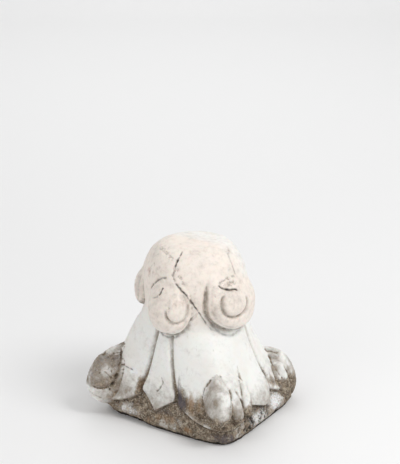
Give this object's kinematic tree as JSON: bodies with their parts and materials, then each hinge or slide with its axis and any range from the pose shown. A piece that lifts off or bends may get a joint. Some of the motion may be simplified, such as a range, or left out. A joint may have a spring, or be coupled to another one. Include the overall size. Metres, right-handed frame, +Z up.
{
  "type": "crocket capital",
  "caption": "Carved stone capital with crockets round a rounded neck block, broad leaves with folded tips over the corners of a square abacus, and pointed darts between.",
  "frame": {"origin": "on the abacus's standing face, below the neck's axis", "axes": "+Z up along the neck's axis from the abacus to the neck bed, as the capital stands in its picture; +X and +Y square to the abacus's faces"},
  "size_m": [0.3204, 0.2964, 0.325],
  "materials": {
    "marble": "weathered, matt"
  },
  "bodies": {
    "root": {"crocket_capital": "marble"}
  },
  "joints": []
}
